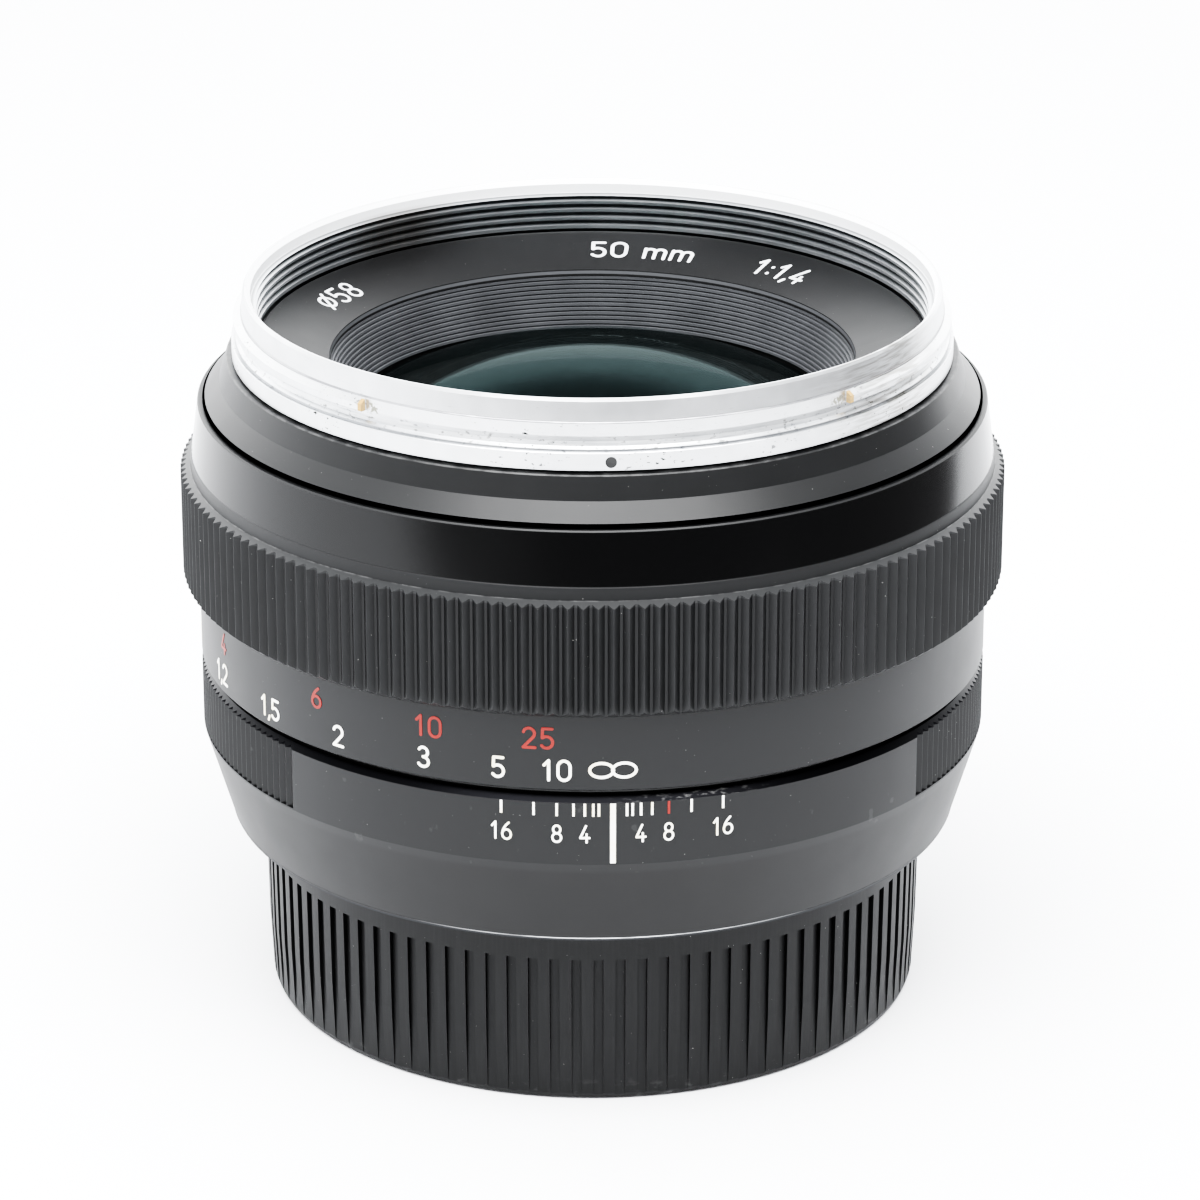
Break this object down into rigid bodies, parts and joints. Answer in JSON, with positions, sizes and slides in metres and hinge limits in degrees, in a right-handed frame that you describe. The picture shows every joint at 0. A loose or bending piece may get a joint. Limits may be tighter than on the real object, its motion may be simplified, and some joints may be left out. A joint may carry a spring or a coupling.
{
  "type": "prime camera lens",
  "caption": "Fixed focal length camera lens with a knurled focus ring, distance scale, bayonet mount, iris blades and a ribbed rear cap.",
  "frame": {"origin": "centre of the rear cap's underside, on the optical axis, where the lens stands", "axes": "+Z along the optical axis towards the subject, -Y towards the index mark"},
  "size_m": [0.071, 0.071, 0.0633],
  "materials": {
    "black_anodised": "satin black anodised",
    "black_gloss": "polished black anodised",
    "black_matte": "matte black anodised",
    "aluminium": "machined",
    "chrome": "satin chrome",
    "steel": "turned",
    "brass": "machined",
    "gold": "gold flash",
    "black_plastic": "moulded",
    "board": "solder mask",
    "glass": "multi-coated",
    "blade": "blackened spring steel",
    "cap_plastic": "moulded satin"
  },
  "bodies": {
    "barrel": {"fixed_barrel": "black_anodised", "guide_sleeve": "black_gloss", "guide_key_left": "brass", "guide_key_right": "brass", "guide_key_screws": "steel", "bayonet_mount": "chrome", "mount_screws": "steel", "contact_block": "black_plastic", "contact_pins": "gold", "rear_light_shield": "black_plastic", "circuit_board": "board", "board_chips": "black_plastic"},
    "lens_head": {"head_tube": "aluminium", "focus_stop": "brass", "front_barrel": "black_anodised", "filter_ring": "chrome", "name_ring": "black_anodised", "light_baffle": "black_matte", "front_cell": "black_matte", "rear_cell": "black_matte", "front_element": "glass", "second_element": "glass", "third_element": "glass", "fourth_element": "glass", "fifth_element": "glass", "sixth_element": "glass", "seventh_element": "glass", "second_element_retainer": "black_matte", "third_element_retainer": "black_matte", "rear_spacer": "black_matte", "rear_thin_spacer": "black_matte", "rear_element_retainer": "black_matte", "iris_base": "black_matte", "iris_screws": "steel", "aperture_motor": "steel"},
    "focus_ring": {"focus_ring": "black_anodised", "helicoid": "brass", "ring_retainer": "aluminium"},
    "iris_ring": {"iris_ring": "black_matte"},
    "motor_pinion": {"motor_pinion": "brass"},
    "iris_blade_1": {"iris_blade_1": "blade"},
    "iris_blade_2": {"iris_blade_2": "blade"},
    "iris_blade_3": {"iris_blade_3": "blade"},
    "iris_blade_4": {"iris_blade_4": "blade"},
    "iris_blade_5": {"iris_blade_5": "blade"},
    "iris_blade_6": {"iris_blade_6": "blade"},
    "iris_blade_7": {"iris_blade_7": "blade"},
    "iris_blade_8": {"iris_blade_8": "blade"},
    "iris_blade_9": {"iris_blade_9": "blade"},
    "rear_cap": {"rear_cap": "cap_plastic"}
  },
  "joints": [
    {"name": "focus_travel", "type": "slide", "parent": "barrel", "child": "lens_head", "axis": [0, 0, 1], "range_m": [0, 0.00781]},
    {"name": "focus_turn", "type": "hinge", "parent": "lens_head", "child": "focus_ring", "pos_m": [0, 0, 0], "axis": [0, 0, 1], "range_deg": [0, 234]},
    {"name": "iris_turn", "type": "hinge", "parent": "lens_head", "child": "iris_ring", "pos_m": [0, 0, 0], "axis": [0, 0, 1], "range_deg": [0, 22]},
    {"name": "motor_turn", "type": "hinge", "parent": "lens_head", "child": "motor_pinion", "pos_m": [0, 0.0246, 0], "axis": [0, 0, 1], "range_deg": [-280, 0]},
    {"name": "blade_1_swing", "type": "hinge", "parent": "lens_head", "child": "iris_blade_1", "pos_m": [0.0196, 0, 0.0323], "axis": [0, 0, 1], "range_deg": [0, 36.2]},
    {"name": "blade_2_swing", "type": "hinge", "parent": "lens_head", "child": "iris_blade_2", "pos_m": [0.01501, 0.0126, 0.0323], "axis": [0, 0, 1], "range_deg": [0, 36.2]},
    {"name": "blade_3_swing", "type": "hinge", "parent": "lens_head", "child": "iris_blade_3", "pos_m": [0.0034, 0.0193, 0.0323], "axis": [0, 0, 1], "range_deg": [0, 36.2]},
    {"name": "blade_4_swing", "type": "hinge", "parent": "lens_head", "child": "iris_blade_4", "pos_m": [-0.0098, 0.01697, 0.0323], "axis": [0, 0, 1], "range_deg": [0, 36.2]},
    {"name": "blade_5_swing", "type": "hinge", "parent": "lens_head", "child": "iris_blade_5", "pos_m": [-0.01842, 0.0067, 0.0323], "axis": [0, 0, 1], "range_deg": [0, 36.2]},
    {"name": "blade_6_swing", "type": "hinge", "parent": "lens_head", "child": "iris_blade_6", "pos_m": [-0.01842, -0.0067, 0.0323], "axis": [0, 0, 1], "range_deg": [0, 36.2]},
    {"name": "blade_7_swing", "type": "hinge", "parent": "lens_head", "child": "iris_blade_7", "pos_m": [-0.0098, -0.01697, 0.0323], "axis": [0, 0, 1], "range_deg": [0, 36.2]},
    {"name": "blade_8_swing", "type": "hinge", "parent": "lens_head", "child": "iris_blade_8", "pos_m": [0.0034, -0.0193, 0.0323], "axis": [0, 0, 1], "range_deg": [0, 36.2]},
    {"name": "blade_9_swing", "type": "hinge", "parent": "lens_head", "child": "iris_blade_9", "pos_m": [0.01501, -0.0126, 0.0323], "axis": [0, 0, 1], "range_deg": [0, 36.2]},
    {"name": "cap_pull", "type": "slide", "parent": "barrel", "child": "rear_cap", "axis": [0, 0, -1], "range_m": [0, 0.02]}
  ],
  "couplings": [
    {"joint": "focus_travel", "follows": "focus_turn", "m_per_rad": 0.0019099},
    {"joint": "motor_turn", "follows": "iris_turn", "ratio": -12.667},
    {"joint": "blade_1_swing", "follows": "iris_turn", "ratio": 1.6409},
    {"joint": "blade_2_swing", "follows": "iris_turn", "ratio": 1.6409},
    {"joint": "blade_3_swing", "follows": "iris_turn", "ratio": 1.6409},
    {"joint": "blade_4_swing", "follows": "iris_turn", "ratio": 1.6409},
    {"joint": "blade_5_swing", "follows": "iris_turn", "ratio": 1.6409},
    {"joint": "blade_6_swing", "follows": "iris_turn", "ratio": 1.6409},
    {"joint": "blade_7_swing", "follows": "iris_turn", "ratio": 1.6409},
    {"joint": "blade_8_swing", "follows": "iris_turn", "ratio": 1.6409},
    {"joint": "blade_9_swing", "follows": "iris_turn", "ratio": 1.6409}
  ]
}
